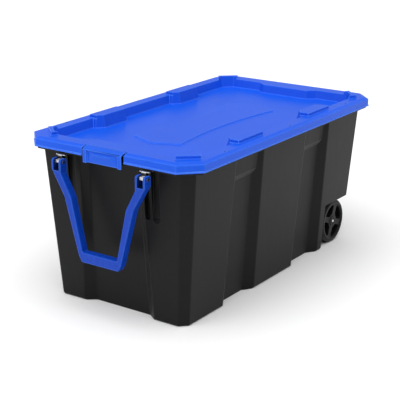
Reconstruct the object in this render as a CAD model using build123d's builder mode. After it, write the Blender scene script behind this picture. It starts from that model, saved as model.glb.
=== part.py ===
"""Wheeled deck storage tote: black tub, blue clip-down lid, blue pull handle and two wheels.

The frame stands at the middle of the footprint, on the ground. +X points to the wheel end,
-X to the handle end, Y across the tub and +Z up. Millimetres throughout.
"""
from build123d import *
from math import sqrt
import os

os.makedirs("parts", exist_ok=True)

# --- Allowances ---------------------------------------------------------------------------
over = 1                     # cuts run this far past the faces that they cut
touch_gap = 0.05             # gap between parts that bear on each other

# --- Tub ---------------------------------------------------------------------------------
wall = 3.5                   # moulded wall of the tub
base_half_x = 488            # half length on the ground
base_half_y = 243            # half width on the ground
base_corner = 24             # 45 degree corner cut on the ground
end_draft = 0.054            # lean of the two ends, per mm of height
side_draft = 0.080           # lean of the two long sides
corner_draft = 0.015         # growth of the corner cut
foot_bevel = 5               # height of the bevel round the foot
foot_bevel_run = 4
flange_z = 476               # underside of the rim flange
flange_top = 480
flange_half_x = 538
flange_half_y = 307
flange_corner = 53
lip_wall = 3
lip_top = 505

# --- Recesses in the tub's walls ----------------------------------------------------------
side_recess_x = 202          # two recesses on each long side
side_mouth = 87              # half width of the mouth on the ground
side_slope = 1.5             # run of the slanted step per mm of depth
side_close = 0.025           # the mouth narrows as it rises
ledge_low = 390              # the deep part ends in a sloped ledge
ledge_high = 408
side_depths = {0: 24, ledge_low: 21, ledge_high: 12, flange_top: 10}
end_mouth = 134
end_slope = 1.4
end_close = 0.050
end_depths = {0: 23, flange_top: 14}

# --- Moulded pockets in the handle end, under each bracket --------------------------------
bracket_y = 154              # centre of each handle bracket, either side of the middle
pocket_foot = 325            # middle of the round foot of the pockets
pocket_mouth_x = -530        # the pockets are cut from outside the wall
niche_span = (-20, 8)        # shallow pocket, measured from the bracket's centre
niche_floor_x = -500
slot_span = (16, 34)         # deep narrow pocket beside it
slot_floor_x = -491

# --- Wheels and axle ----------------------------------------------------------------------
wheel_radius = 76
axle_x = 407
axle_z = 77
axle_radius = 5
axle_round = 2               # rounding of the axle's ends
wheel_clear = 0.08           # running clearance of the bore
well_front_x = 319
well_inner_y = 182
well_roof_z = 158
well_box = (200, 120)        # the well's cut, reaching out past the tub's corner
boss_y = 186                 # outer face of the boss round each axle hole
boss_radius = 14
washer_y = 187.6
hub_inner_y = 188
rim_inner_y = 196
hub_outer_y = 235
rim_outer_y = 240
tunnel_half = 9
tunnel_roof_z = 90
rim_band = 61                # inside radius of the wheel's outer band
tread_round = 9
web_recess = 3.5             # the web lies this far inside the band's face
pocket_radii = (25, 58)      # the four pockets lie between these radii
pocket_depth = 20
pocket_round = 8             # rounding of the pockets' corners
spoke_width = 19
spoke_angle = 70
hub_radius = 17
groove_radius = 66           # outside radius of the groove in the wheel's inner face
groove_depth = 10
web_bevel = 2                # the band leans in to the web
hub_bevel = 1
washer_radius = 12
retainer_radius = 8
retainer_y = 235.4
retainer_thick = 2
washer_clear = 0.10
retainer_clear = 0.02
axle_end_y = 240.5

# --- Lid ----------------------------------------------------------------------------------
lid_half_x = 545
lid_half_y = 314
lid_corner = 57
lid_wall = 3
skirt_z = 483                # lower edge of the skirt
roll = 2                     # the rolled lower edge stands out this far
roll_height = 4
inner_corner = 55            # corner cut inside the skirt
rim_edge_z = 507.5           # outer edge of the rim
rim_z = 512                  # crest of the rim
rim_slope_run = 15           # the rim falls from its crest over this width
block_z = 522                # top of the stacking blocks
tray_z = 483                 # floor of the tray
tray_half_x = 488
tray_half_y = 267
tray_corner = 34
tray_lean = 10               # how far the tray's walls lean in over their height
plateau_x = 464              # the rim widens to here behind each latch
plateau_half = 86
plateau_flare = 114
block_x = (135, 269)         # long side stacking blocks
block_y = (237, 281)
block_chamfer = 16           # the blocks' corners on the tray side
block_tail = 17              # the blocks run on over the tray, whose hollow then trims them
corner_block_plan = ((507, 228), (460, 283), (430, 262), (430, 215), (480, 215))
block_foot_z = 501.5         # the blocks start inside the rim
panel_tips = (-324, 286)     # the raised panel's two points, on the middle line
panel_corners = (-286, 234)  # its corners, where the bowed long sides begin
panel_half = 90              # half width at the corners
panel_waist = 66             # half width at the waist
panel_rise = 3.5
hole_radius = 5              # lashing holes through rim and flange
hole_x = 361
hole_y = 295

# --- Latches ------------------------------------------------------------------------------
latch_half = 70.5
latch_gap = 6.5              # gap to the skirt at each end of a latch
latch_wall = 3.5
latch_axis_x = 528           # hinge line, from the middle
latch_axis_z = 507
latch_nose = 3.5             # the latch's top reaches this far behind its hinge line
latch_top = 3                # thickness of the latch's top
nose_bevel = 2
web_half = 1.5               # half thickness of the strip from the latch's top to its pintles
pintle_radius = 2
pintle_clear = 0.06
pintle_short = 1             # the pintles end this far inside their lugs
latch_opening_x = 522.3      # the lid is cut back to here, so that the latch can swing
opening_box = 60             # length and height of that cut
lug_span = (522.3, 533)      # lugs under the rim that hold the latch's pintles
lug_foot_z = 503
lug_width = 6
latch_face_x = 549.5
latch_foot_z = 465.5
window_half = 57             # sunk window in the latch's face
window_top_z = 503.5
window_x = 543.5             # floor of the window
window_back_x = 540.5        # back of the wall behind it
grip_x = 549                 # ridge of the hipped finger grip in the window
grip_z = 492.5
grip_crest = 1               # height of the flat along the ridge
grip_root_x = 543            # the ridge starts inside the window's wall
grip_half = 28.6
bead_half = 40               # half length of the snap bead
bead_x = 538.5               # tip of the bead
bead_top_z = 475.2
bead_tip_z = 473.5
bead_foot_z = 467.5

# --- Pull handle and its brackets ---------------------------------------------------------
handle_front = -572
handle_back = -544
pivot_x = -558
pivot_z = 456
pin_radius = 4
ear_inner = 137
ear_outer = 171
slot_inner = 143.5
slot_outer = 164.5
slot_floor_z = 432
arm_outline = ((171, 433), (127, 358), (78, 182), (68, 165))      # from the ear down to the grip
arm_inner = ((64.5, 196), (101, 357), (137, 424))                 # and back up inside
ear_rise = 10                # the ears end this far above the pivot
ear_round = 8
knee_round = 14              # rounding of the bend in each arm
knee_span = (350, 360)
pin_fit = 0.02               # the pins are a tight fit in the ears
strap = 2                    # thickness of the steel strap
eye_clear = 0.06
tongue_width = 16
pin_head_radius = 5.5
pin_head = 2.4
pin_head_round = 1.8
plate_x = -515               # inner edge of the plate riveted under the flange
plate_end_x = -552           # outer edge of the plate's two shoulders
plate_round = 3
relief = 1                   # slits between the shoulders and the tongue
relief_x = -545
bend_radius = 3              # inside radius of the bend between plate and leg
bend_trim = 20               # squares that trim the bend to a quarter turn
seam = (0.5, 8)              # width and length of the seam beside the rolled eye
seam_rise = 1                # the seam starts this far above the pivot
rivet_radius = 2.5
rivet_x = -526
rivet_spread = 10            # rivets to either side of the bracket's centre
rivet_head_radius = 4.5
rivet_head = 2
rivet_round = 1.4
rivet_clear = 0.02


def octagon(half_x, half_y, corner):
    """Corner points of a rectangle with its corners cut at 45 degrees."""
    quarter = [(half_x, half_y - corner), (half_x - corner, half_y)]
    left = [(-x, y) for x, y in reversed(quarter)]
    return quarter + left + [(-x, -y) for x, y in quarter + left]


def blend(table, z):
    """Value at height z in a table of heights, straight between its entries."""
    heights = sorted(table)
    for low, high in zip(heights, heights[1:]):
        if z <= high:
            share = (z - low) / (high - low)
            return table[low] + share * (table[high] - table[low])
    return table[heights[-1]]


def recess_plan(z, mouth, close, slope, depths, inset):
    """Half widths and depths of a recess at height z, grown by inset on every side."""
    mouth_over = 6
    reach = blend(depths, z) + inset
    grow = inset * sqrt(1 + slope**2)
    edge = mouth - close * z + grow
    return edge + slope * mouth_over, mouth_over, edge - slope * reach, reach


def tub_form(inset):
    """The tub's solid body, with every wall drawn in by inset and its recesses grown by it."""
    corner_inset = inset * (2 - sqrt(2))
    over_top = over if inset else 0
    steps = [inset, inset + foot_bevel, flange_top + over_top]
    with BuildPart() as form:
        for bottom, top in zip(steps, steps[1:]):
            for z in (bottom, top):
                bevel = foot_bevel_run if z == steps[0] else 0
                half_x = base_half_x + end_draft * z - inset - bevel
                half_y = base_half_y + side_draft * z - inset - bevel
                corner = base_corner + corner_draft * z - corner_inset
                with BuildSketch(Plane.XY.offset(z)):
                    with BuildLine():
                        Polyline(*octagon(half_x, half_y, corner), close=True)
                    make_face()
            loft(ruled=True)
        # recesses on the long sides
        heights = [-over, ledge_low + inset, ledge_high + inset, flange_top + 2 * over]
        for centre in (-side_recess_x, side_recess_x):
            for side in (-1, 1):
                for bottom, top in zip(heights, heights[1:]):
                    for z in (bottom, top):
                        level = max(z - inset, 0)
                        a, out, b, reach = recess_plan(
                            level, side_mouth, side_close, side_slope, side_depths, inset)
                        face = base_half_y + side_draft * z
                        with BuildSketch(Plane.XY.offset(z)):
                            with BuildLine():
                                Polyline((centre - a, side * (face + out)),
                                         (centre + a, side * (face + out)),
                                         (centre + b, side * (face - reach)),
                                         (centre - b, side * (face - reach)), close=True)
                            make_face()
                    loft(ruled=True, mode=Mode.SUBTRACT)
        # one recess in each end
        for side in (-1, 1):
            for z in (-over, flange_top + 2 * over):
                a, out, b, reach = recess_plan(
                    max(z, 0), end_mouth, end_close, end_slope, end_depths, inset)
                face = base_half_x + end_draft * z
                with BuildSketch(Plane.XY.offset(z)):
                    with BuildLine():
                        Polyline((side * (face + out), -a), (side * (face + out), a),
                                 (side * (face - reach), b), (side * (face - reach), -b), close=True)
                    make_face()
            loft(ruled=True, mode=Mode.SUBTRACT)
        # wheel wells at the two corners of the wheel end
        well_x = well_front_x - inset
        well_y = well_inner_y - inset
        well_z = well_roof_z + inset
        for side in (-1, 1):
            with Locations((well_x, side * (well_y + well_box[1] / 2), -over)):
                Box(*well_box, well_z + over, align=(Align.MIN, Align.CENTER, Align.MIN), mode=Mode.SUBTRACT)
        # tunnel for the axle, open underneath
        with Locations((axle_x, 0, -over)):
            Box(2 * (tunnel_half + inset), 2 * (well_inner_y - wall + inset), tunnel_roof_z + inset + over,
                align=(Align.CENTER, Align.CENTER, Align.MIN), mode=Mode.SUBTRACT)
        # pockets under the handle brackets
        for centre in (-bracket_y, bracket_y):
            for span, floor_x in ((niche_span, niche_floor_x), (slot_span, slot_floor_x)):
                width = span[1] - span[0] + 2 * inset
                middle = centre + (span[0] + span[1]) / 2
                foot = pocket_foot - inset
                with BuildSketch(Plane.YZ.offset(pocket_mouth_x)):
                    with Locations((middle, foot)):
                        Rectangle(width, flange_top + 2 * over - foot, align=(Align.CENTER, Align.MIN))
                    with Locations((middle, foot)):
                        Circle(width / 2)
                extrude(amount=floor_x + inset - pocket_mouth_x, mode=Mode.SUBTRACT)
    return form.part


outer_form = tub_form(0)
inner_form = tub_form(wall)

with BuildPart() as tub:
    add(outer_form)
    # rim flange and the upstand that the lid sits over
    with BuildSketch(Plane.XY.offset(flange_z)):
        with BuildLine():
            Polyline(*octagon(flange_half_x, flange_half_y, flange_corner), close=True)
        make_face()
    extrude(amount=flange_top - flange_z)
    with BuildSketch(Plane.XY.offset(flange_top)) as upstand:
        with BuildLine():
            Polyline(*octagon(flange_half_x, flange_half_y, flange_corner), close=True)
        make_face()
        offset(amount=-lip_wall, kind=Kind.INTERSECTION, mode=Mode.SUBTRACT)
    extrude(amount=lip_top - flange_top)
    add(inner_form, mode=Mode.SUBTRACT)
    # bosses and holes for the axle
    for side in (-1, 1):
        with BuildSketch(Plane.XZ.offset(-side * (well_inner_y - wall))):
            with Locations((axle_x, axle_z)):
                Circle(boss_radius)
        extrude(amount=-side * (boss_y - well_inner_y + wall))
    with BuildSketch(Plane.XZ.offset(-boss_y - over)):
        with Locations((axle_x, axle_z)):
            Circle(axle_radius + touch_gap)
    extrude(amount=2 * (boss_y + over), mode=Mode.SUBTRACT)
    # lashing holes in the flange
    with Locations((0, 0, flange_top)):
        with GridLocations(hole_x, 2 * hole_y, 3, 2):
            Hole(hole_radius, depth=flange_top - flange_z + over)
    # rivet holes for the handle brackets
    with Locations((rivet_x, -bracket_y, flange_top), (rivet_x, bracket_y, flange_top)):
        with GridLocations(1, 2 * rivet_spread, 1, 2):
            Hole(rivet_radius, depth=flange_top - flange_z + over)
tub.part.label = "tub"
export_step(tub.part, "parts/tub.step")


def tray_outline(inset):
    """Plan of the lid's tray: a cut-cornered rectangle that steps in round blocks and plateaus."""
    near, far = block_x
    chamfer_y = block_y[0] + block_chamfer
    steps = [(tray_half_x, plateau_flare), (tray_half_x, tray_half_y - tray_corner),
             (tray_half_x - tray_corner, tray_half_y), (far, tray_half_y),
             (far, chamfer_y), (far - block_chamfer, block_y[0]),
             (near + block_chamfer, block_y[0]), (near, chamfer_y), (near, tray_half_y)]
    quarter = [(plateau_x, plateau_half)] + steps
    half = quarter + [(-x, y) for x, y in reversed(quarter)]
    points = half + [(-x, -y) for x, y in half]
    with BuildSketch() as plan:
        with BuildLine():
            Polyline(*points, close=True)
        make_face()
        if inset:
            offset(amount=-inset, kind=Kind.INTERSECTION, mode=Mode.REPLACE)
    return plan.sketch


def tray_body(grow, low, high):
    """The tray's leaning hollow between two heights, with its plan grown outwards."""
    with BuildPart() as body:
        for z in (low, high):
            lean = tray_lean * (block_z - z) / (block_z - tray_z)
            with BuildSketch(Plane.XY.offset(z)):
                add(tray_outline(lean - grow))
        loft(ruled=True)
    return body.part


def panel_outline():
    """Plan of the raised panel: pointed at both ends, with long sides that bow inwards."""
    left, right = panel_corners
    waist_x = (left + right) / 2
    with BuildSketch() as plan:
        with BuildLine() as half:
            Line((panel_tips[0], 0), (left, panel_half))
            ThreePointArc((left, panel_half), (waist_x, panel_waist), (right, panel_half))
            Line((right, panel_half), (panel_tips[1], 0))
            mirror(half.line, about=Plane.XZ)
        make_face()
    return plan.sketch


def side_block(inset, low, high):
    """The four stacking blocks on the long sides, with every wall drawn in by inset."""
    near, far = block_x
    inner = block_y[0] if inset else block_y[0] - block_tail
    depth = block_y[1] - inner
    with BuildPart() as blocks:
        with BuildSketch(Plane.XY.offset(low)):
            for sx in (-1, 1):
                for sy in (-1, 1):
                    with Locations((sx * (near + far) / 2, sy * (inner + depth / 2))):
                        Rectangle(far - near - 2 * inset, depth - 2 * inset)
        extrude(amount=high - low)
    return blocks.part


def corner_block(grow, low, high):
    """The four stacking blocks that stand across the corners of the rim."""
    with BuildPart() as blocks:
        with BuildSketch(Plane.XY.offset(low)) as plan:
            for sx in (-1, 1):
                for sy in (-1, 1):
                    with BuildLine():
                        Polyline(*[(sx * x, sy * y) for x, y in corner_block_plan], close=True)
                    make_face()
            if grow:
                offset(amount=grow, kind=Kind.INTERSECTION, mode=Mode.REPLACE)
        extrude(amount=high - low)
    return blocks.part


tray_hollow = tray_body(0, tray_z, block_z + over)
tray_wall = tray_body(lid_wall, tray_z - lid_wall, rim_z - lid_wall + over)
panel_plan = panel_outline()
blocks_outer = [side_block(0, block_foot_z, block_z), corner_block(0, block_foot_z, block_z)]
with BuildPart() as blocks_inner:
    add(side_block(lid_wall, block_foot_z - 2, block_z - lid_wall))
    add(corner_block(-lid_wall, block_foot_z - 2, block_z - lid_wall))
    add(tray_body(lid_wall, tray_z, block_z), mode=Mode.SUBTRACT)

with BuildPart() as lid:
    slope_corner = lid_corner - rim_slope_run * (2 - sqrt(2))
    # skirt, its rolled lower edge and the sloping rim
    with BuildSketch(Plane.XY.offset(skirt_z)):
        with BuildLine():
            Polyline(*octagon(lid_half_x, lid_half_y, lid_corner), close=True)
        make_face()
    extrude(amount=rim_edge_z - skirt_z)
    with BuildSketch(Plane.XY.offset(skirt_z)):
        with BuildLine():
            Polyline(*octagon(lid_half_x + roll, lid_half_y + roll, lid_corner + roll / 2), close=True)
        make_face()
    extrude(amount=roll_height)
    with BuildSketch(Plane.XY.offset(rim_edge_z)):
        with BuildLine():
            Polyline(*octagon(lid_half_x, lid_half_y, lid_corner), close=True)
        make_face()
    with BuildSketch(Plane.XY.offset(rim_z)):
        with BuildLine():
            Polyline(*octagon(lid_half_x - rim_slope_run, lid_half_y - rim_slope_run, slope_corner), close=True)
        make_face()
    loft(ruled=True)
    # stacking blocks
    add(blocks_outer)
    # hollow from below
    with BuildSketch(Plane.XY.offset(skirt_z - over)):
        with BuildLine():
            Polyline(*octagon(lid_half_x - lid_wall, lid_half_y - lid_wall, inner_corner), close=True)
        make_face()
    extrude(amount=rim_edge_z - lid_wall - skirt_z + over, mode=Mode.SUBTRACT)
    for z, run in ((rim_edge_z - lid_wall, 0), (rim_z - lid_wall, rim_slope_run)):
        with BuildSketch(Plane.XY.offset(z)):
            with BuildLine():
                Polyline(*octagon(lid_half_x - lid_wall - run, lid_half_y - lid_wall - run,
                                  inner_corner - run * (2 - sqrt(2))), close=True)
            make_face()
    loft(ruled=True, mode=Mode.SUBTRACT)
    add(blocks_inner.part, mode=Mode.SUBTRACT)
    # tray: walls and floor, then its hollow
    add(tray_wall)
    add(tray_hollow, mode=Mode.SUBTRACT)
    # raised panel in the middle of the tray
    with BuildSketch(Plane.XY.offset(tray_z)):
        add(panel_plan)
    extrude(amount=panel_rise)
    with BuildSketch(Plane.XY.offset(tray_z - lid_wall)):
        add(panel_plan)
        offset(amount=-lid_wall, kind=Kind.INTERSECTION, mode=Mode.REPLACE)
    extrude(amount=panel_rise, mode=Mode.SUBTRACT)
    # lashing holes
    with Locations((0, 0, rim_z)):
        with GridLocations(hole_x, 2 * hole_y, 3, 2):
            Hole(hole_radius, depth=2 * lid_wall + over)
    # openings for the two latches, and the lugs that carry their pintles
    opening_half = latch_half + latch_gap
    for side in (-1, 1):
        with Locations((side * (latch_opening_x + opening_box / 2), 0, tray_z)):
            Box(opening_box, 2 * opening_half, opening_box,
                align=(Align.CENTER, Align.CENTER, Align.MIN), mode=Mode.SUBTRACT)
        lug_middle = side * (lug_span[0] + lug_span[1]) / 2
        for y in (-1, 1):
            with Locations((lug_middle, y * (opening_half + lug_width / 2), lug_foot_z)):
                Box(lug_span[1] - lug_span[0], lug_width, rim_z - over - lug_foot_z,
                    align=(Align.CENTER, Align.CENTER, Align.MIN))
        with BuildSketch(Plane.XZ.offset(-opening_half - lug_width - over)):
            with Locations((side * latch_axis_x, latch_axis_z)):
                Circle(pintle_radius + pintle_clear)
        extrude(amount=2 * (opening_half + lug_width + over), mode=Mode.SUBTRACT)
lid.part.label = "lid"
export_step(lid.part, "parts/lid.step")


def latch_flap():
    """One latch: a flap on pintles, with a hipped finger grip in a sunk window and a snap bead."""
    back_x = latch_face_x - latch_wall
    crest_x = lid_half_x - rim_slope_run
    nose_x = latch_axis_x - latch_nose
    brow_x = lid_half_x + 1
    brow_z = rim_edge_z - 4
    web_out_x = latch_axis_x + web_half
    web_in_x = latch_axis_x - web_half
    with BuildPart() as flap:
        # top, face and the strip that reaches down to the pintles
        with BuildSketch(Plane.XZ.offset(-latch_half)):
            with BuildLine():
                Polyline((nose_x + nose_bevel, rim_z), (crest_x, rim_z), (brow_x, rim_edge_z),
                         (latch_face_x, brow_z), (latch_face_x, latch_foot_z),
                         (back_x, latch_foot_z), (back_x, brow_z - latch_top + 1),
                         (brow_x - latch_top - 1, rim_edge_z - latch_top), (crest_x, rim_z - latch_top),
                         (web_out_x, rim_z - latch_top), (web_out_x, latch_axis_z),
                         (web_in_x, latch_axis_z), (web_in_x, rim_z - latch_top),
                         (nose_x, rim_z - nose_bevel), close=True)
            make_face()
        extrude(amount=2 * latch_half)
        # pintles along the hinge line
        pintle_half = latch_half + latch_gap + lug_width - pintle_short
        with BuildSketch(Plane.XZ.offset(-pintle_half)):
            with Locations((latch_axis_x, latch_axis_z)):
                Circle(pintle_radius)
        extrude(amount=2 * pintle_half)
        # sunk window: the wall behind it, then its opening
        window_high = window_top_z - latch_foot_z
        for x, top, half, far, mode in (
                (window_back_x, window_top_z + latch_top, window_half + latch_wall, back_x + over, Mode.ADD),
                (window_x, window_top_z, window_half, latch_face_x + over, Mode.SUBTRACT)):
            with BuildSketch(Plane.YZ.offset(x)):
                with Locations((0, latch_foot_z)):
                    Rectangle(2 * half, top - latch_foot_z, align=(Align.CENTER, Align.MIN))
            extrude(amount=far - x, mode=mode)
        # hipped finger grip
        with BuildSketch(Plane.YZ.offset(grip_root_x)):
            with Locations((0, latch_foot_z + window_high / 2)):
                Rectangle(2 * window_half, window_high)
        with BuildSketch(Plane.YZ.offset(grip_x)):
            with Locations((0, grip_z)):
                Rectangle(2 * grip_half, grip_crest)
        loft(ruled=True)
        # snap bead under the flange
        with BuildSketch(Plane.XZ.offset(-bead_half)):
            with BuildLine():
                Polyline((window_back_x + over, bead_top_z), (bead_x, bead_tip_z),
                         (window_back_x + over, bead_foot_z), close=True)
            make_face()
        extrude(amount=2 * bead_half)
    return flap.part


flap = latch_flap()
for name, turn in (("rear_latch", 0), ("front_latch", 180)):
    with BuildPart() as latch:
        add(flap, rotation=(0, 0, turn))
    latch.part.label = name
    export_step(latch.part, f"parts/{name}.step")

with BuildPart() as handle:
    outline = [(ear_outer, pivot_z + ear_rise), *arm_outline]
    inner = [*arm_inner, (ear_inner, pivot_z + ear_rise)]
    with BuildSketch(Plane.YZ.offset(handle_front)) as face:
        with BuildLine():
            Polyline(*outline, *[(-y, z) for y, z in reversed(outline)],
                     *[(-y, z) for y, z in reversed(inner)], *inner, close=True)
        make_face()
        knees = [v for v in face.vertices() if knee_span[0] < v.Z < knee_span[1]]
        fillet(knees, knee_round)
        for side in (-1, 1):
            with Locations((side * (slot_inner + slot_outer) / 2, slot_floor_z)):
                Rectangle(slot_outer - slot_inner, pivot_z + ear_rise + over - slot_floor_z,
                          align=(Align.CENTER, Align.MIN), mode=Mode.SUBTRACT)
    extrude(amount=handle_back - handle_front)
    ears = handle.edges().filter_by(Axis.Y).group_by(Axis.Z)[-1]
    fillet(ears, ear_round)
    with BuildSketch(Plane.XZ.offset(-ear_outer - over)):
        with Locations((pivot_x, pivot_z)):
            Circle(pin_radius + pin_fit)
    extrude(amount=2 * (ear_outer + over), mode=Mode.SUBTRACT)
handle.part.label = "pull_handle"
export_step(handle.part, "parts/pull_handle.step")


for name, side in (("pivot_pin_left", 1), ("pivot_pin_right", -1)):
    with BuildPart() as pin:
        for radius, low, high in ((pin_radius, ear_inner - pin_head / 2, ear_outer + pin_head / 2),
                                  (pin_head_radius, ear_inner - pin_head, ear_inner - touch_gap),
                                  (pin_head_radius, ear_outer + touch_gap, ear_outer + pin_head)):
            with BuildSketch(Plane.XZ.offset(-max(side * low, side * high))):
                with Locations((pivot_x, pivot_z)):
                    Circle(radius)
            extrude(amount=high - low)
        rims = pin.edges().filter_by(GeomType.CIRCLE).sort_by(Axis.Y)
        fillet([rims[0], rims[-1]], pin_head_round)
    pin.part.label = name
    export_step(pin.part, f"parts/{name}.step")

eye_inner = pin_radius + eye_clear
leg_x = pivot_x + eye_inner            # the leg is a tangent of the eye
bend_x = leg_x + bend_radius + strap
bend_z = flange_z - strap - bend_radius
for name, side in (("handle_bracket_left", 1), ("handle_bracket_right", -1)):
    middle = side * bracket_y
    plate_half = (ear_outer - ear_inner) / 2
    with BuildPart() as bracket:
        # plate under the flange: rounded corners, and a slot between its shoulders for the tongue
        with BuildSketch(Plane.XY.offset(flange_z - strap)):
            with Locations((plate_x, middle)):
                outline = Rectangle(plate_x - plate_end_x, 2 * plate_half, align=(Align.MAX, Align.CENTER))
            fillet(outline.vertices(), plate_round)
            with Locations((relief_x, middle)):
                Rectangle(relief_x - plate_end_x, tongue_width + 2 * relief,
                          align=(Align.MAX, Align.CENTER), mode=Mode.SUBTRACT)
                Rectangle(relief_x - bend_x, tongue_width, align=(Align.MAX, Align.CENTER))
        extrude(amount=strap)
        # tongue: bend, leg and rolled eye
        with BuildSketch(Plane.XZ.offset(-(middle + tongue_width / 2))):
            with Locations((bend_x, bend_z)):
                Circle(bend_radius + strap)
                Circle(bend_radius, mode=Mode.SUBTRACT)
            with Locations((bend_x, bend_z)):
                Rectangle(bend_trim, bend_trim, align=(Align.MIN, Align.CENTER), mode=Mode.SUBTRACT)
                Rectangle(bend_trim, bend_trim, align=(Align.CENTER, Align.MAX), mode=Mode.SUBTRACT)
            with Locations((leg_x, pivot_z)):
                Rectangle(strap, bend_z - pivot_z, align=(Align.MIN, Align.MIN))
            with Locations((pivot_x, pivot_z)):
                Circle(eye_inner + strap)
                Circle(eye_inner, mode=Mode.SUBTRACT)
            # seam where the rolled end meets the leg
            with Locations((leg_x, pivot_z + seam_rise)):
                Rectangle(*seam, align=(Align.MAX, Align.MIN), mode=Mode.SUBTRACT)
        extrude(amount=tongue_width)
        with Locations((rivet_x, middle, flange_z)):
            with GridLocations(1, 2 * rivet_spread, 1, 2):
                Hole(rivet_radius, depth=strap)
    bracket.part.label = name
    export_step(bracket.part, f"parts/{name}.step")

for side_name, side in (("left", 1), ("right", -1)):
    for place, shift in (("outer", rivet_spread), ("inner", -rivet_spread)):
        with BuildPart() as rivet:
            with Locations((rivet_x, side * (bracket_y + shift), flange_z - strap - rivet_head)):
                Cylinder(rivet_head_radius, rivet_head - touch_gap,
                         align=(Align.CENTER, Align.CENTER, Align.MIN))
            with Locations((rivet_x, side * (bracket_y + shift), flange_top + touch_gap)):
                Cylinder(rivet_head_radius, rivet_head, align=(Align.CENTER, Align.CENTER, Align.MIN))
            with Locations((rivet_x, side * (bracket_y + shift), flange_z - strap - rivet_head / 2)):
                Cylinder(rivet_radius - rivet_clear, flange_top - flange_z + strap + rivet_head,
                         align=(Align.CENTER, Align.CENTER, Align.MIN))
            rims = rivet.edges().filter_by(GeomType.CIRCLE).sort_by(Axis.Z)
            fillet([rims[0], rims[-1]], rivet_round)
        rivet.part.label = f"bracket_rivet_{side_name}_{place}"
        export_step(rivet.part, f"parts/{rivet.part.label}.step")

with BuildPart() as axle:
    with BuildSketch(Plane.XZ.offset(-axle_end_y)):
        with Locations((axle_x, axle_z)):
            Circle(axle_radius)
    extrude(amount=2 * axle_end_y)
    fillet(axle.edges().filter_by(GeomType.CIRCLE), axle_round)
axle.part.label = "axle"
export_step(axle.part, "parts/axle.step")

for side_name, side in (("left", 1), ("right", -1)):
    retainer_end = retainer_y + retainer_thick
    rings = {f"axle_washer_{side_name}": (washer_radius, boss_y + touch_gap, washer_y, washer_clear),
             f"axle_retainer_{side_name}": (retainer_radius, retainer_y, retainer_end, retainer_clear)}
    for name, (radius, low, high, clear) in rings.items():
        with BuildPart() as ring:
            with BuildSketch(Plane.XZ.offset(-max(side * low, side * high))):
                with Locations((axle_x, axle_z)):
                    Circle(radius)
                    Circle(axle_radius + clear, mode=Mode.SUBTRACT)
            extrude(amount=high - low)
        ring.part.label = name
        export_step(ring.part, f"parts/{name}.step")

with BuildPart() as wheel_form:
    # turned body: band, web and hub, with the axle's bore
    with BuildSketch(Plane.XY) as section:
        with BuildLine():
            Polyline((axle_radius + wheel_clear, -hub_inner_y), (hub_radius, -hub_inner_y),
                     (hub_radius, -rim_inner_y - groove_depth), (groove_radius, -rim_inner_y - groove_depth),
                     (groove_radius, -rim_inner_y), (wheel_radius, -rim_inner_y),
                     (wheel_radius, -rim_outer_y), (rim_band, -rim_outer_y),
                     (rim_band - web_bevel, -rim_outer_y + web_recess),
                     (hub_radius, -rim_outer_y + web_recess),
                     (hub_radius - hub_bevel, -rim_outer_y + hub_bevel),
                     (retainer_radius + 2 * hub_bevel, -rim_outer_y + hub_bevel),
                     (retainer_radius + hub_bevel, -hub_outer_y), (axle_radius + wheel_clear, -hub_outer_y),
                     close=True)
        make_face()
        tread = section.vertices().group_by(Axis.X)[-1]
        fillet(tread, tread_round)
    revolve(axis=Axis.Y)
    # four pockets between the spokes
    with BuildSketch(Plane.XZ.offset(rim_outer_y - web_recess)) as pockets:
        Circle(pocket_radii[1])
        Circle(pocket_radii[0], mode=Mode.SUBTRACT)
        for turn in (spoke_angle, spoke_angle + 90):
            Rectangle(3 * pocket_radii[1], spoke_width, rotation=turn, mode=Mode.SUBTRACT)
        fillet(pockets.vertices(), pocket_round)
    extrude(amount=-pocket_depth, mode=Mode.SUBTRACT)

for name, turn in (("wheel_right", 0), ("wheel_left", 180)):
    with BuildPart() as wheel:
        with Locations((axle_x, 0, axle_z)):
            add(wheel_form.part, rotation=(0, 0, turn))
    wheel.part.label = name
    export_step(wheel.part, f"parts/{name}.step")
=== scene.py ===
# %% [markdown]
# # A wheeled deck storage box
# This lesson dresses a finished engineering model: a black moulded tub on two wheels, a bright blue lid
# with a clip at each end, and a blue pull handle. The engineering model says where everything is and how
# it moves. Here each moulding gets the soft, rounded edges that a real one has, and each surface its finish.
# %% Load the frame
from math import radians
import bmesh
import bpy
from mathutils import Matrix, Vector


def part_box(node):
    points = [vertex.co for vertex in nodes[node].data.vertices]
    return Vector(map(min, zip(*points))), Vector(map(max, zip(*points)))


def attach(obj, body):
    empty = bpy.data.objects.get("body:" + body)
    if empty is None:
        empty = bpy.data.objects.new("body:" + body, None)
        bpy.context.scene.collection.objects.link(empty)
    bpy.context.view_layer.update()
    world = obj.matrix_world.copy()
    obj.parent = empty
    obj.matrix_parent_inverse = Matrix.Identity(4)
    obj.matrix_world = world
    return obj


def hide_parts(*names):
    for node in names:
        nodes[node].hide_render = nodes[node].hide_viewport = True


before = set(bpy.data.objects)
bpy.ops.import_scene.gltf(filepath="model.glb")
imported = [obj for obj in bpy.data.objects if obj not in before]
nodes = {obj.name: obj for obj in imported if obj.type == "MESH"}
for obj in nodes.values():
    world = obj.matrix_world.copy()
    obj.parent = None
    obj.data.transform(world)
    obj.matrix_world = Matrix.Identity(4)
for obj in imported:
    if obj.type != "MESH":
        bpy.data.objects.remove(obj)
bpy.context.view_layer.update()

# %% [markdown]
# ## The camera
# A long lens from the handle end keeps the box's sides nearly parallel, as in a catalogue. The heading is
# the way the camera faces, counted from +Y, and the pitch is how far it looks down.
# %% Camera
CAMERA_PLACE = (-2.8798, -1.9695, 1.3537)
CAMERA_HEADING = radians(-55.05)
CAMERA_PITCH = radians(18.04)
camera_data = bpy.data.cameras.new("camera")
camera_data.lens = 100.35
camera_data.sensor_width = 36.0
camera = bpy.data.objects.new("camera", camera_data)
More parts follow.
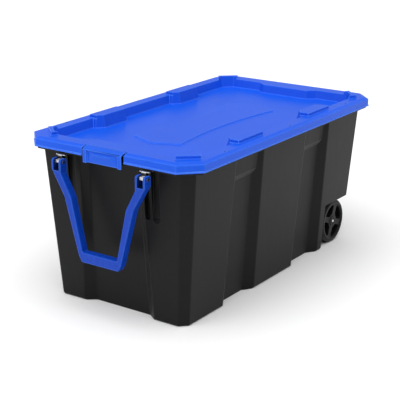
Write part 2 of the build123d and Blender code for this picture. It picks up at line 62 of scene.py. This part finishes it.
camera.location = CAMERA_PLACE
camera.rotation_euler = (radians(90) - CAMERA_PITCH, 0, CAMERA_HEADING)
bpy.context.scene.collection.objects.link(camera)
bpy.context.scene.camera = camera
bpy.context.scene.view_settings.view_transform = "Standard"
print("camera", tuple(camera.location))

# %% [markdown]
# ## Shader sums
# A material is easier to read when its arithmetic looks like arithmetic. `Signal` wraps one output of a
# node, and adding or multiplying signals adds the Math nodes that do it. `Finish` makes a material and any
# other node it needs.
# %% Signal and Finish


class Signal:
    """One value that varies over a surface."""

    def __init__(self, tree, socket):
        self.tree = tree
        self.socket = socket

    def maths(self, operation, first, second=None, clamp=False):
        """One Math node, with signals or numbers going in."""
        node = self.tree.nodes.new("ShaderNodeMath")
        node.operation = operation
        node.use_clamp = clamp
        for entry, value in zip(node.inputs, (first, second)):
            if isinstance(value, Signal):
                self.tree.links.new(value.socket, entry)
            elif value is not None:
                entry.default_value = value
        return Signal(self.tree, node.outputs[0])

    def __add__(self, other):
        return self.maths("ADD", self, other)

    def __radd__(self, other):
        return self.maths("ADD", other, self)

    def __sub__(self, other):
        return self.maths("SUBTRACT", self, other)

    def __rsub__(self, other):
        return self.maths("SUBTRACT", other, self)

    def __mul__(self, other):
        return self.maths("MULTIPLY", self, other)

    def __rmul__(self, other):
        return self.maths("MULTIPLY", other, self)

    def __truediv__(self, other):
        return self.maths("DIVIDE", self, other)

    def __pow__(self, other):
        return self.maths("POWER", self, other)

    def __abs__(self):
        return self.maths("ABSOLUTE", self)

    def clamped(self):
        return self.maths("ADD", self, 0.0, clamp=True)


class Finish:
    """A material that is being built."""

    def __init__(self, name):
        self.material = bpy.data.materials.new(name)
        self.material.use_nodes = True
        self.tree = self.material.node_tree
        self.shader = self.tree.nodes["Principled BSDF"]
        self.base = None
        self.place = self.node("ShaderNodeTexCoord", output="Object")

    def node(self, kind, settings=None, inputs=None, output=0):
        """Adds a node, applies its settings, then fills its inputs with values or signals."""
        made = self.tree.nodes.new(kind)
        for key, value in (settings or {}).items():
            setattr(made, key, value)
        for key, value in (inputs or {}).items():
            if isinstance(value, Signal):
                self.tree.links.new(value.socket, made.inputs[key])
            else:
                made.inputs[key].default_value = value
        return Signal(self.tree, made.outputs[output])

    def stretched(self, scale):
        """The surface's own coordinates, stretched by a scale along each axis."""
        return self.node("ShaderNodeMapping", inputs={"Vector": self.place, "Scale": scale})

    def noise(self, scale, detail=2.0, rough=0.5, where=None):
        """Cloudy noise between 0 and 1, with its scale in cells to the metre."""
        facts = {"Vector": where or self.place, "Scale": scale, "Detail": detail, "Roughness": rough}
        return self.node("ShaderNodeTexNoise", inputs=facts)

    def cells(self, scale, output="Distance"):
        """Distance to the nearest of many scattered points, or their random colours."""
        return self.node("ShaderNodeTexVoronoi", inputs={"Vector": self.place, "Scale": scale}, output=output)

    def blend(self, share, first, second):
        """A colour that goes from the first to the second as the share goes from 0 to 1."""
        return self.node("ShaderNodeMixRGB", inputs={"Fac": share, "Color1": first, "Color2": second})

    def edges(self, width, gain):
        """1 along edges, where wear and painted highlights go, and 0 elsewhere, from how much a rounded normal
        differs from the true one.
        """
        rounded = self.node("ShaderNodeBevel", {"samples": 4}, {"Radius": width}, "Normal")
        true = self.node("ShaderNodeNewGeometry", output="Normal")
        alike = self.node("ShaderNodeVectorMath", {"operation": "DOT_PRODUCT"}, {0: rounded, 1: true}, "Value")
        return ((1.0 - alike) * gain).clamped()

    def along(self, axis):
        """How far the surface is along an axis: 0 for X, 1 for Y and 2 for Z."""
        return self.node("ShaderNodeSeparateXYZ", inputs={0: self.place}, output=axis)

    def between(self, value, low, high, soft=0.0004):
        """1 where a value lies between two limits, with soft ends."""
        return ((value - low) / soft).clamped() * ((high - value) / soft).clamped()

    def tint(self, share, colour):
        """Lays a colour over the base colour, where the share says."""
        self.base = self.blend(share, self.base, colour)
        self.feed("Base Color", self.base)

    def feed(self, entry, value):
        """Gives a socket of the shader a value or a signal."""
        if isinstance(value, Signal):
            self.tree.links.new(value.socket, self.shader.inputs[entry])
        else:
            self.shader.inputs[entry].default_value = value

    def bump(self, height, depth):
        """Relief on the surface, with the depth in metres between a height of 0 and 1."""
        facts = {"Height": height, "Strength": 1.0, "Distance": depth}
        self.feed("Normal", self.node("ShaderNodeBump", inputs=facts, output="Normal"))


def shade(colour, factor):
    """A colour made lighter or darker."""
    return tuple(min(1.0, part * factor) for part in colour[:3]) + (1.0,)


# %% [markdown]
# ## Moulded plastic
# Polypropylene from a steel mould has a fine spark-eroded grain, a faint drift of colour along the way the
# melt flowed, and handling marks: thin scuffs on the flats. Its edges are painted paler, partly as rubbing and
# partly as a painted highlight. All of it is noise at the right scale, so that it holds up from close by and
# stays quiet from far off.
# %% Moulded plastic


def moulded(name, colour, rubbed_and_lit, rough, gloss, flow, scuffs=0.5):
    """Moulded plastic: its colour, the colour of its rubbed edges with their painted highlight, and the way
    that the melt flowed.
    """
    made = Finish(name)
    drift = made.noise(5.0, 3.0)
    streak = made.noise(14.0, 4.0, 0.6, made.stretched(flow))
    grain = made.noise(1400.0, 2.0, 0.6)
    orange_peel = made.noise(160.0, 2.0)
    lines = made.noise(22.0, 6.0, 0.72, made.stretched((1.0, 1.6, 1.2)))
    thin = (1.0 - abs(lines - 0.5) * 60.0).clamped()
    patches = ((made.noise(9.0, 2.0) - 0.52) * 6.0).clamped()
    scuff = thin * patches * scuffs
    # Paler edges: partly rubbing, partly a painted highlight where the rounded edges would catch the light.
    wear_and_highlight = (made.edges(0.0045, 9.0) * (made.noise(60.0, 4.0, 0.7) * 0.8 + 0.4)).clamped()
    made.base = made.blend(drift * 0.6 + streak * 0.4, shade(colour, 0.88), shade(colour, 1.14))
    made.tint(scuff * 0.30, rubbed_and_lit)
    made.tint(wear_and_highlight * 0.80, rubbed_and_lit)
    made.feed("Roughness", rough + (streak - 0.5) * 0.10 + (grain - 0.5) * 0.10 + scuff * 0.12 + wear_and_highlight * 0.06)
    made.feed("Specular IOR Level", gloss)
    made.bump(grain * 0.25 + orange_peel * 0.5 + streak * 0.25, 0.00009)
    print("finish", name)
    return made


LID_BLUE = (0.007, 0.094, 0.72, 1.0)
LID_WEAR_AND_HIGHLIGHT = (0.12, 0.32, 1.0, 1.0)
CLIP_BLUE = (0.007, 0.095, 0.70, 1.0)
blue_lid = moulded("blue_lid_plastic", LID_BLUE, LID_WEAR_AND_HIGHLIGHT, 0.30, 0.16, (1.0, 5.0, 5.0))
blue_clip = moulded("blue_clip_plastic", CLIP_BLUE, LID_WEAR_AND_HIGHLIGHT, 0.30, 0.18, (5.0, 1.0, 5.0))
HANDLE_BLUE = (0.0035, 0.048, 0.42, 1.0)
HANDLE_WEAR_AND_HIGHLIGHT = (0.05, 0.20, 0.86, 1.0)
blue_handle = moulded("blue_handle_plastic", HANDLE_BLUE, HANDLE_WEAR_AND_HIGHLIGHT, 0.28, 0.20, (5.0, 5.0, 1.0))
TUB_BLACK = (0.0052, 0.0052, 0.0052, 1.0)
TUB_WEAR_AND_HIGHLIGHT = (0.030, 0.030, 0.030, 1.0)
black_tub = moulded("black_tub_plastic", TUB_BLACK, TUB_WEAR_AND_HIGHLIGHT, 0.42, 0.16, (6.0, 6.0, 0.7), 0.7)

# %% [markdown]
# ## Painted light and shade on the plastics
# The undersides of the sloped ledges in the tub's long sides are painted paler, a painted reflection of the
# bright floor below. The slots in the handle's ears are painted dark as painted shade, and each bracket's
# leg gets a band of painted shade. Height and distance from the middle line are enough to find these places.
# %% Painted reflection and shade on the plastics
# Painted reflection: downward faces of the ledges are made paler, standing in for the lit floor they face.
facing = black_tub.node("ShaderNodeNewGeometry", output="Normal")
downwards = black_tub.node("ShaderNodeSeparateXYZ", inputs={0: facing}, output=2) * -1.0
LEDGE_SPAN = (0.384, 0.413)
LEDGE_REFLECTION_GREY = (0.042, 0.042, 0.042, 1.0)
ledge_reflection = black_tub.between(black_tub.along(2), *LEDGE_SPAN) * ((downwards - 0.25) * 5.0).clamped()
black_tub.tint(ledge_reflection, LEDGE_REFLECTION_GREY)

EAR_SLOT = (0.1432, 0.1648)
EAR_SLOT_FOOT = 0.4315
SLOT_SHADE = (0.004, 0.006, 0.016, 1.0)
# Painted shade: the inside of each ear slot is darkened to near black, where little light reaches.
slot_shade = blue_handle.between(abs(blue_handle.along(1)), *EAR_SLOT)
slot_shade = slot_shade * ((blue_handle.along(2) - EAR_SLOT_FOOT) * 2000.0).clamped()
blue_handle.tint(slot_shade * 0.92, SLOT_SHADE)
print("ledges, slots")

# %% [markdown]
# ## The wheel's plastic
# The wheels are the same kind of plastic, but their treads pick up dust and are rubbed matt by the ground.
# The tread is where a point is far from the axle, so its distance from the axle makes the mask.
# %% Wheel plastic
AXLE_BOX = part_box("axle")
axle_x = (AXLE_BOX[0].x + AXLE_BOX[1].x) / 2
axle_z = (AXLE_BOX[0].z + AXLE_BOX[1].z) / 2
TREAD_DEPTH = 0.004
WHEEL_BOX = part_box("wheel_right")
wheel_radius = (WHEEL_BOX[1].x - WHEEL_BOX[0].x) / 2


def add_tread_dust(made, colour):
    """Dust and matt rubbing on the tread of a wheel."""
    across = made.along(0) - axle_x
    up = made.along(2) - axle_z
    reach = (across ** 2.0 + up ** 2.0) ** 0.5
    tread = ((reach - (wheel_radius - TREAD_DEPTH)) * 400.0).clamped()
    dust = tread * (made.noise(90.0, 5.0, 0.7) * 1.5 - 0.3).clamped()
    made.tint(dust * 0.5, colour)


WHEEL_BLACK = (0.006, 0.006, 0.006, 1.0)
DUST = (0.12, 0.115, 0.105, 1.0)
black_wheel = moulded("black_wheel_plastic", WHEEL_BLACK, TUB_WEAR_AND_HIGHLIGHT, 0.45, 0.16, (2.0, 2.0, 2.0))
add_tread_dust(black_wheel, DUST)

# %% [markdown]
# ## Steel
# Zinc plating has small crystals that catch the light a little differently from each other, and fine lines
# from rolling or drawing. Blackened steel is the same metal with a dark, slightly oily skin.
# %% Steel


def steel(name, colour, rough, lines, crystals=0.12, metal=1.0):
    """Plated or drawn steel, with its rolling lines stretched along one axis."""
    made = Finish(name)
    tone = made.cells(420.0, "Color")
    fine = made.noise(900.0, 3.0, 0.6, made.stretched(lines))
    spots = ((made.noise(240.0, 4.0, 0.7) - 0.6) * 5.0).clamped()
    grey = made.node("ShaderNodeSeparateColor", inputs={0: tone})
    made.base = made.blend(grey * crystals + fine * 0.3, shade(colour, 0.82), shade(colour, 1.12))
    made.tint(spots * 0.35, shade(colour, 0.45))
    made.feed("Metallic", metal)
    made.feed("Roughness", rough + (fine - 0.5) * 0.16 + spots * 0.15 + grey * 0.05)
    made.bump(fine, 0.00003)
    print("finish", name)
    return made


zinc_strap = steel("zinc_strap", (0.72, 0.73, 0.74), 0.30, (0.15, 1.0, 1.0), 0.5)
zinc_rivet = steel("zinc_rivet", (0.66, 0.67, 0.68), 0.34, (1.0, 1.0, 1.0), 0.3)
zinc_pin = steel("zinc_pin", (0.10, 0.10, 0.105), 0.40, (1.0, 1.0, 1.0), 0.3)
bright_rod = steel("bright_rod", (0.80, 0.80, 0.79), 0.26, (1.0, 0.05, 1.0), 0.1)
zinc_washer = steel("zinc_washer", (0.62, 0.62, 0.62), 0.36, (1.0, 1.0, 1.0), 0.3)
black_steel = steel("black_steel", (0.03, 0.03, 0.032), 0.42, (1.0, 1.0, 1.0), 0.3, 0.6)
# Painted shade: a band of each bracket's leg, under the lid's skirt, is darkened.
LEG_SHADE_SPAN = (0.4630, 0.4725)
LEG_SHADE = (0.012, 0.013, 0.016, 1.0)
zinc_strap.tint(zinc_strap.between(zinc_strap.along(2), *LEG_SHADE_SPAN) * 0.93, LEG_SHADE)

# %% [markdown]
# ## Floor and light
# The box stands on a plain pale floor in an even white room. A very soft sun overhead makes the lid the
# brightest face, and a large lamp in front of the handle end lifts that end's blues above the long side's.
# %% Floor
FLOOR_HALF = 30.0
bpy.ops.mesh.primitive_grid_add(x_subdivisions=8, y_subdivisions=8, size=2 * FLOOR_HALF)
floor = bpy.context.object
floor.name = "floor"
pale = Finish("pale_floor")
floor_tone = pale.noise(0.8, 3.0)
pale.feed("Base Color", pale.blend(floor_tone, (0.93, 0.93, 0.93, 1.0), (0.95, 0.95, 0.95, 1.0)))
pale.feed("Roughness", 0.9)
pale.feed("Specular IOR Level", 0.1)
floor.data.materials.append(pale.material)
print("floor", FLOOR_HALF * 2, "m across")

# %% [markdown]
# ## The lights
# The room's even white fills every shadow a little. The sun's wide angle keeps the shadow under the box soft.
# %% Light
world = bpy.data.worlds.new("studio")
world.use_nodes = True
world.node_tree.nodes["Background"].inputs["Color"].default_value = (1.0, 1.0, 1.0, 1.0)
world.node_tree.nodes["Background"].inputs["Strength"].default_value = 0.44
bpy.context.scene.world = world

SUN_TOWARDS = Vector((-0.30, -0.10, 1.0))
sun_data = bpy.data.lights.new("soft_sun", "SUN")
sun_data.energy = 2.6
sun_data.angle = radians(80)
sun = bpy.data.objects.new("soft_sun", sun_data)
sun.rotation_euler = SUN_TOWARDS.to_track_quat("Z", "Y").to_euler()
bpy.context.scene.collection.objects.link(sun)

END_LIGHT_PLACE = Vector((-3.2, 1.6, 1.5))
END_LIGHT_AIM = Vector((-0.5, 0.0, 0.35))
end_data = bpy.data.lights.new("end_light", "AREA")
end_data.size = 2.2
end_data.energy = 9.0
end_light = bpy.data.objects.new("end_light", end_data)
end_light.location = END_LIGHT_PLACE
end_light.rotation_euler = (END_LIGHT_AIM - END_LIGHT_PLACE).to_track_quat("-Z", "Y").to_euler()
bpy.context.scene.collection.objects.link(end_light)
print("sun", sun_data.energy, "end light", end_data.energy, "W")

# %% [markdown]
# ## Working on a copy
# An engineering part comes in as loose triangles with knife-sharp edges. Its copy is merged, its flat faces
# are joined up again, and then the edges can be rounded, as on the real moulding. Everything is deselected
# before each piece, because operators act on all that is selected.
# %% Helpers for copying


def only(piece):
    """Selects one object and nothing else."""
    bpy.ops.object.select_all(action="DESELECT")
    piece.select_set(True)
    bpy.context.view_layer.objects.active = piece


def merged_copy(node, name, flat=0.4):
    """A copy of an engineering node, merged, with its flat faces joined up."""
    piece = bpy.data.objects.new(name, nodes[node].data.copy())
    bpy.context.scene.collection.objects.link(piece)
    piece.data.materials.clear()
    only(piece)
    bpy.ops.object.mode_set(mode="EDIT")
    bpy.ops.mesh.select_all(action="SELECT")
    bpy.ops.mesh.remove_doubles(threshold=0.00002)
    bpy.ops.mesh.dissolve_limited(angle_limit=radians(flat))
    bpy.ops.mesh.select_all(action="DESELECT")
    bpy.ops.object.mode_set(mode="OBJECT")
    print("copy", name, len(piece.data.polygons), "faces")
    return piece


# %% [markdown]
# ## Rounding by weight
# A mould has a different rounding on each edge: generous on the outside, tight round small features. A
# Bevel modifier can follow a weight on each edge, so one pass rounds a whole piece and its corners meet
# cleanly. An edge is never rounded wider than the faces beside it leave room for.
# %% Helpers for rounding
WIDEST = 0.008
ROOM_SHARE = 0.42


def room_beside(edge):
    """The widest rounding that the edges meeting this one at its ends leave room for."""
    others = [other for vert in edge.verts for other in vert.link_edges if other is not edge]
    return ROOM_SHARE * min(other.calc_length() for other in others)


def round_edges(piece, width_of, steps=3, sharp=5.0):
    """Rounds each sharp edge to the width in metres that width_of(edge, middle) gives for it."""
    grid = bmesh.new()
    grid.from_mesh(piece.data)
    weights = grid.edges.layers.float.new("bevel_weight_edge")
    rounded = 0
    for edge in grid.edges:
        if len(edge.link_faces) != 2 or edge.calc_face_angle() < radians(sharp):
            continue
        width = width_of(edge, (edge.verts[0].co + edge.verts[1].co) / 2)
        width = min(width, WIDEST, room_beside(edge))
        if width > 0.0002:
            edge[weights] = width / WIDEST
            rounded += 1
    grid.to_mesh(piece.data)
    grid.free()
    only(piece)
    bevel = piece.modifiers.new("rounding", "BEVEL")
    bevel.limit_method = "WEIGHT"
    bevel.offset_type = "OFFSET"
    bevel.width = WIDEST
    bevel.segments = steps
    bevel.use_clamp_overlap = False
    bpy.ops.object.modifier_apply(modifier=bevel.name)
    print("rounded", piece.name, rounded, "edges")


# %% [markdown]
# ## Setting a piece in the frame
# Flat faces have to stay flat to the eye while the narrow rounded strips between them turn the light. Smooth
# shading with normals weighted by face area does both. Large faces with holes are split into triangles
# first, so that every one of them fills cleanly. Then the piece gets its finish, the body that it
# rides on, and the engineering node that it stands for.
# %% Helper for dressing


def dress(piece, finish, body, slot, *stands_for):
    """Smooths a finished piece, gives it its finish, and sets it in the frame."""
    only(piece)
    bpy.ops.object.shade_smooth_by_angle(angle=radians(40))
    split = piece.modifiers.new("triangles", "TRIANGULATE")
    bpy.ops.object.modifier_apply(modifier=split.name)
    weighted = piece.modifiers.new("flat_faces", "WEIGHTED_NORMAL")
    weighted.keep_sharp = True
    bpy.ops.object.modifier_apply(modifier=weighted.name)
    piece.data.materials.append(finish.material)
    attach(piece, body)
    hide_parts(*stands_for)
    piece.data.calc_loop_triangles()
    print("piece", piece.name, len(piece.data.loop_triangles), "triangles")


# %% [markdown]
# ## The tub
# The tub is one big injection moulding: a tapering shell with folded recesses that stiffen its walls, and a
# flange round its mouth. It could be drawn from a cube with insets and extrusions, but its walls, wells and
# holes are engineering, so the copy keeps them and only its edges are softened.
# %% Tub
MOUTH_Z = 0.4745
SHORT_EDGE = 0.003
CORNER_LENGTH = 0.15
CORNER_RISE = 0.1


def tub_rounding(edge, middle):
    """Wide roundings down the walls, smaller ones at the foot and round the mouth."""
    if middle.z > MOUTH_Z or edge.calc_length() < SHORT_EDGE:
        return 0.0006
    rise = abs(edge.verts[0].co.z - edge.verts[1].co.z)
    if edge.calc_length() > CORNER_LENGTH and rise > CORNER_RISE:
        return 0.0045
    return 0.0025


tub = merged_copy("tub", "tub_shell")
round_edges(tub, tub_rounding)
dress(tub, black_tub, "tub", "tub_black_plastic", "tub")

# %% [markdown]
# ## The lid
# The lid is a second moulding: a skirt with a rolled lower edge, a sloping rim with stacking blocks, and a
# sunk tray with a raised panel. Its roundings catch the light as fine pale lines, so each kind of edge gets
# its own width: narrow on the rolled lower edge and the panel, wider on the shoulder and the blocks, and
# widest where the tray's floor meets its walls.
# %% Lid
LID_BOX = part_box("lid")
SPECK = 0.0025
BLOCK_EDGE_Z = 0.515
LOW_EDGE_Z = 0.489
SKIRT_INSET = 0.006
CORNER_INSET = 0.066
UPWARDS = 0.02
PANEL_REACH = Vector((0.33, 0.10))


def lid_rounding(edge, middle):
    """The width of a rounding on the lid, by where its edge lies."""
    if edge.calc_length() < SPECK:
        return 0.0003
    outside = abs(middle.x) > LID_BOX[1].x - SKIRT_INSET or abs(middle.y) > LID_BOX[1].y - SKIRT_INSET
    corner = abs(middle.x) + abs(middle.y) > LID_BOX[1].x + LID_BOX[1].y - CORNER_INSET
    if not any(face.normal.z > UPWARDS for vert in edge.verts for face in vert.link_faces):
        return 0.0012 if outside or corner else 0.0
    if outside or corner:
        return 0.0020 if middle.z > LOW_EDGE_Z else 0.0012
    if middle.z > BLOCK_EDGE_Z:
        return 0.0018
    if middle.z > LOW_EDGE_Z:
        return 0.0020
    if abs(middle.x) < PANEL_REACH.x and abs(middle.y) < PANEL_REACH.y:
        return 0.0014
    return 0.0030


lid = merged_copy("lid", "lid_shell")
round_edges(lid, lid_rounding, steps=4)
dress(lid, blue_lid, "lid", "lid_blue_plastic", "lid")

# %% [markdown]
# ## The latches
# Each end of the lid has a flap that snaps under the tub's flange. Its face is sunk, with a hipped ridge for
# the fingers. The facets have to stay crisp, so the roundings are small.
# %% Latches


def latch_rounding(edge, middle):
    """Small roundings all over, a little wider on the long edges."""
    return 0.0016 if edge.calc_length() > 0.02 else 0.0006


for side in ("front", "rear"):
    clip = merged_copy(side + "_latch", side + "_latch_clip")
    round_edges(clip, latch_rounding)
    dress(clip, blue_clip, side + "_latch", "latch_blue_plastic", side + "_latch")

# %% [markdown]
# ## The pull handle
# The handle is a thick moulding with a forked ear at each end. A hand closes round its grip, so the edges
# there are rounded the most; the ears are thin, and take only a little.
# %% Handle
EAR_FOOT = 0.42


def handle_rounding(edge, middle):
    """Wide roundings on the grip and arms, narrow ones on the ears."""
    return 0.0034 if middle.z < EAR_FOOT else 0.0014


handle = merged_copy("pull_handle", "pull_handle_bar")
round_edges(handle, handle_rounding, steps=4)
dress(handle, blue_handle, "handle", "handle_blue_plastic", "pull_handle")

# %% [markdown]
# ## The wheels
# A hard plastic wheel has a rounded tread, a band, and a web with four pockets round its hub. The rounded
# tread and pocket corners are in the engineering part already, so the copy keeps its shape as it is.
# %% Wheels

for side in ("left", "right"):
    wheel = merged_copy("wheel_" + side, "wheel_moulding_" + side)
    dress(wheel, black_wheel, "wheel_" + side, "wheel_black_plastic", "wheel_" + side)

# %% [markdown]
# ## The hardware
# Brackets, rivets, pins, the axle, its washers and its retainers are turned, drawn or folded steel, and
# their engineering shapes are right as they stand. They keep their meshes and only get their metals.
# %% Hardware
hardware = {
    "handle_bracket": zinc_strap, "bracket_rivet": zinc_rivet, "pivot_pin": zinc_pin,
    "axle_washer": zinc_washer, "axle_retainer": black_steel,
}
for name, node in nodes.items():
    metals = [finish for start, finish in hardware.items() if name.startswith(start)]
    if name == "axle":
        metals = [bright_rod]
    if metals:
        node.data.materials.clear()
        node.data.materials.append(metals[0].material)
        print("metal", name, metals[0].material.name)
